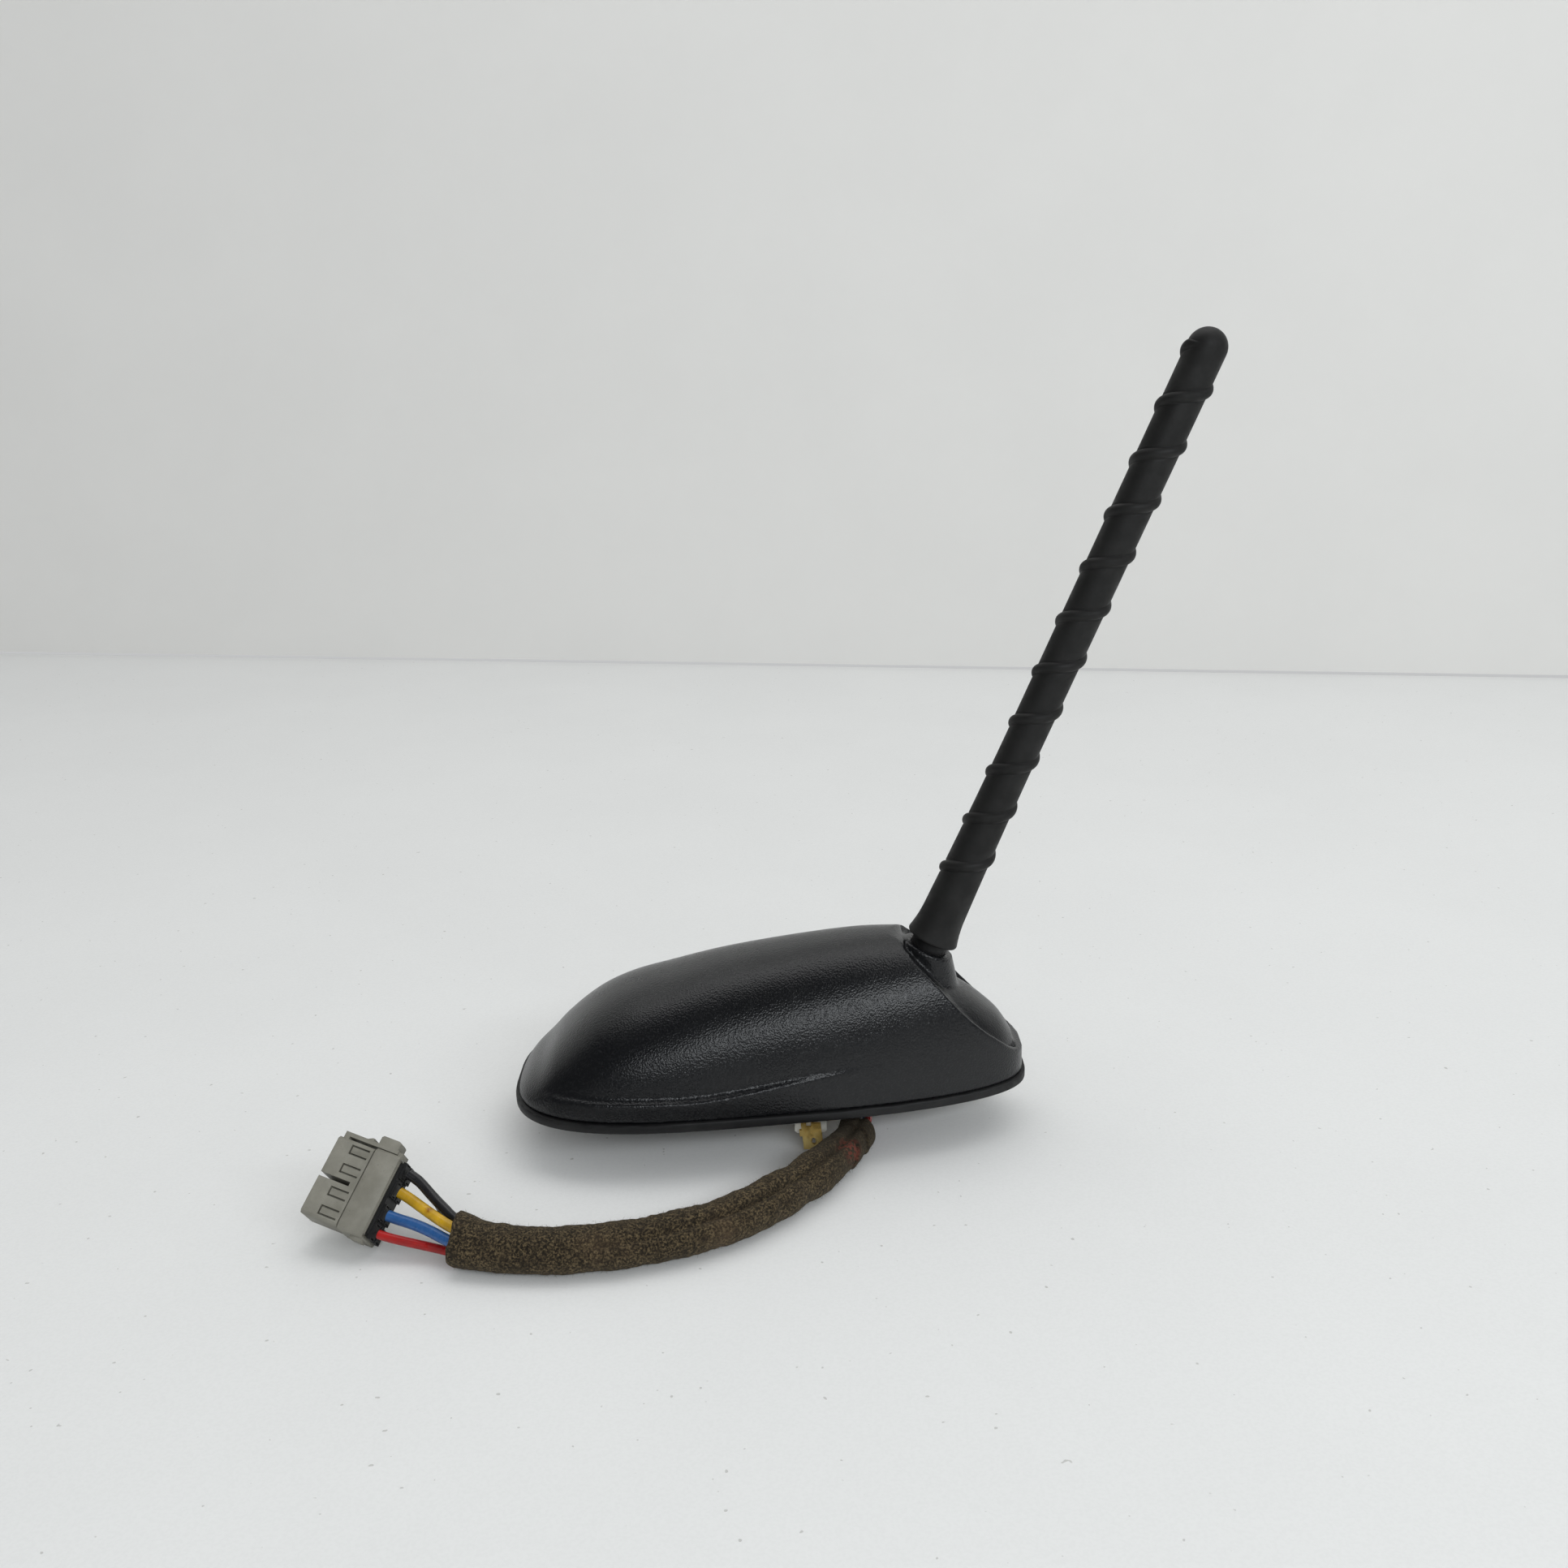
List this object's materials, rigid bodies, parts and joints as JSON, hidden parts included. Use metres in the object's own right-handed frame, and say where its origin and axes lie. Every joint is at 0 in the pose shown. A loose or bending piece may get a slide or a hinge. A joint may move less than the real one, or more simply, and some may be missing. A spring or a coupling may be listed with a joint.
{
  "type": "car_antenna",
  "caption": "Roof antenna for a car: grained black shell on a rubber gasket, raked rubber mast with a helical rib, roof clamp, and a felt-wrapped harness with its plug",
  "frame": {"origin": "the fixing bolt's axis in the plane where the gasket meets the roof panel", "axes": "+X to the tail and the mast's rake, +Y across the shell, +Z away from the roof"},
  "size_m": [0.2686, 0.1267, 0.2461],
  "materials": {
    "shell_plastic": "fine moulded grain, low sheen",
    "black_rubber": "matt",
    "cast_alloy": "as cast",
    "screw_steel": "zinc plated",
    "board_green": "solder mask",
    "tin_plate": "bright tin",
    "ceramic": "fired ceramic",
    "contact_bronze": "rolled strip",
    "insert_brass": "turned",
    "mast_rubber": "matt, faint mould sheen",
    "glass_fibre": "drawn rod",
    "copper_wire": "enamelled, close wound",
    "yellow_plate": "yellow zinc plate",
    "white_nylon": "satin",
    "lead_mixed": "extruded jackets",
    "felt": "brown-grey felt tape with stray fibres",
    "lead_red": "extruded jacket",
    "lead_blue": "extruded jacket",
    "lead_yellow": "extruded jacket",
    "lead_black": "extruded jacket",
    "grey_nylon": "satin"
  },
  "bodies": {
    "root": {"cover": "shell_plastic", "gasket": "black_rubber", "base_plate": "cast_alloy", "cover_screws": "screw_steel", "circuit_board": "board_green", "board_screws": "screw_steel", "shield_can": "tin_plate", "patch_antenna": "ceramic", "contact_spring": "contact_bronze", "socket_insert": "insert_brass", "collar_seal": "black_rubber", "mast_sheath": "mast_rubber", "mast_core": "glass_fibre", "mast_winding": "copper_wire", "mast_ferrule": "screw_steel", "fixing_bolt": "yellow_plate", "clip_block": "white_nylon", "retaining_clip": "yellow_plate", "cable_grommet": "black_rubber", "lead_tails": "lead_mixed", "harness_sleeve": "felt", "wire_red": "lead_red", "wire_blue": "lead_blue", "wire_yellow": "lead_yellow", "wire_black": "lead_black", "wire_black_thin": "lead_black", "connector_housing": "grey_nylon", "connector_lock": "grey_nylon", "wire_seals": "black_rubber", "terminals": "tin_plate"}
  },
  "joints": []
}
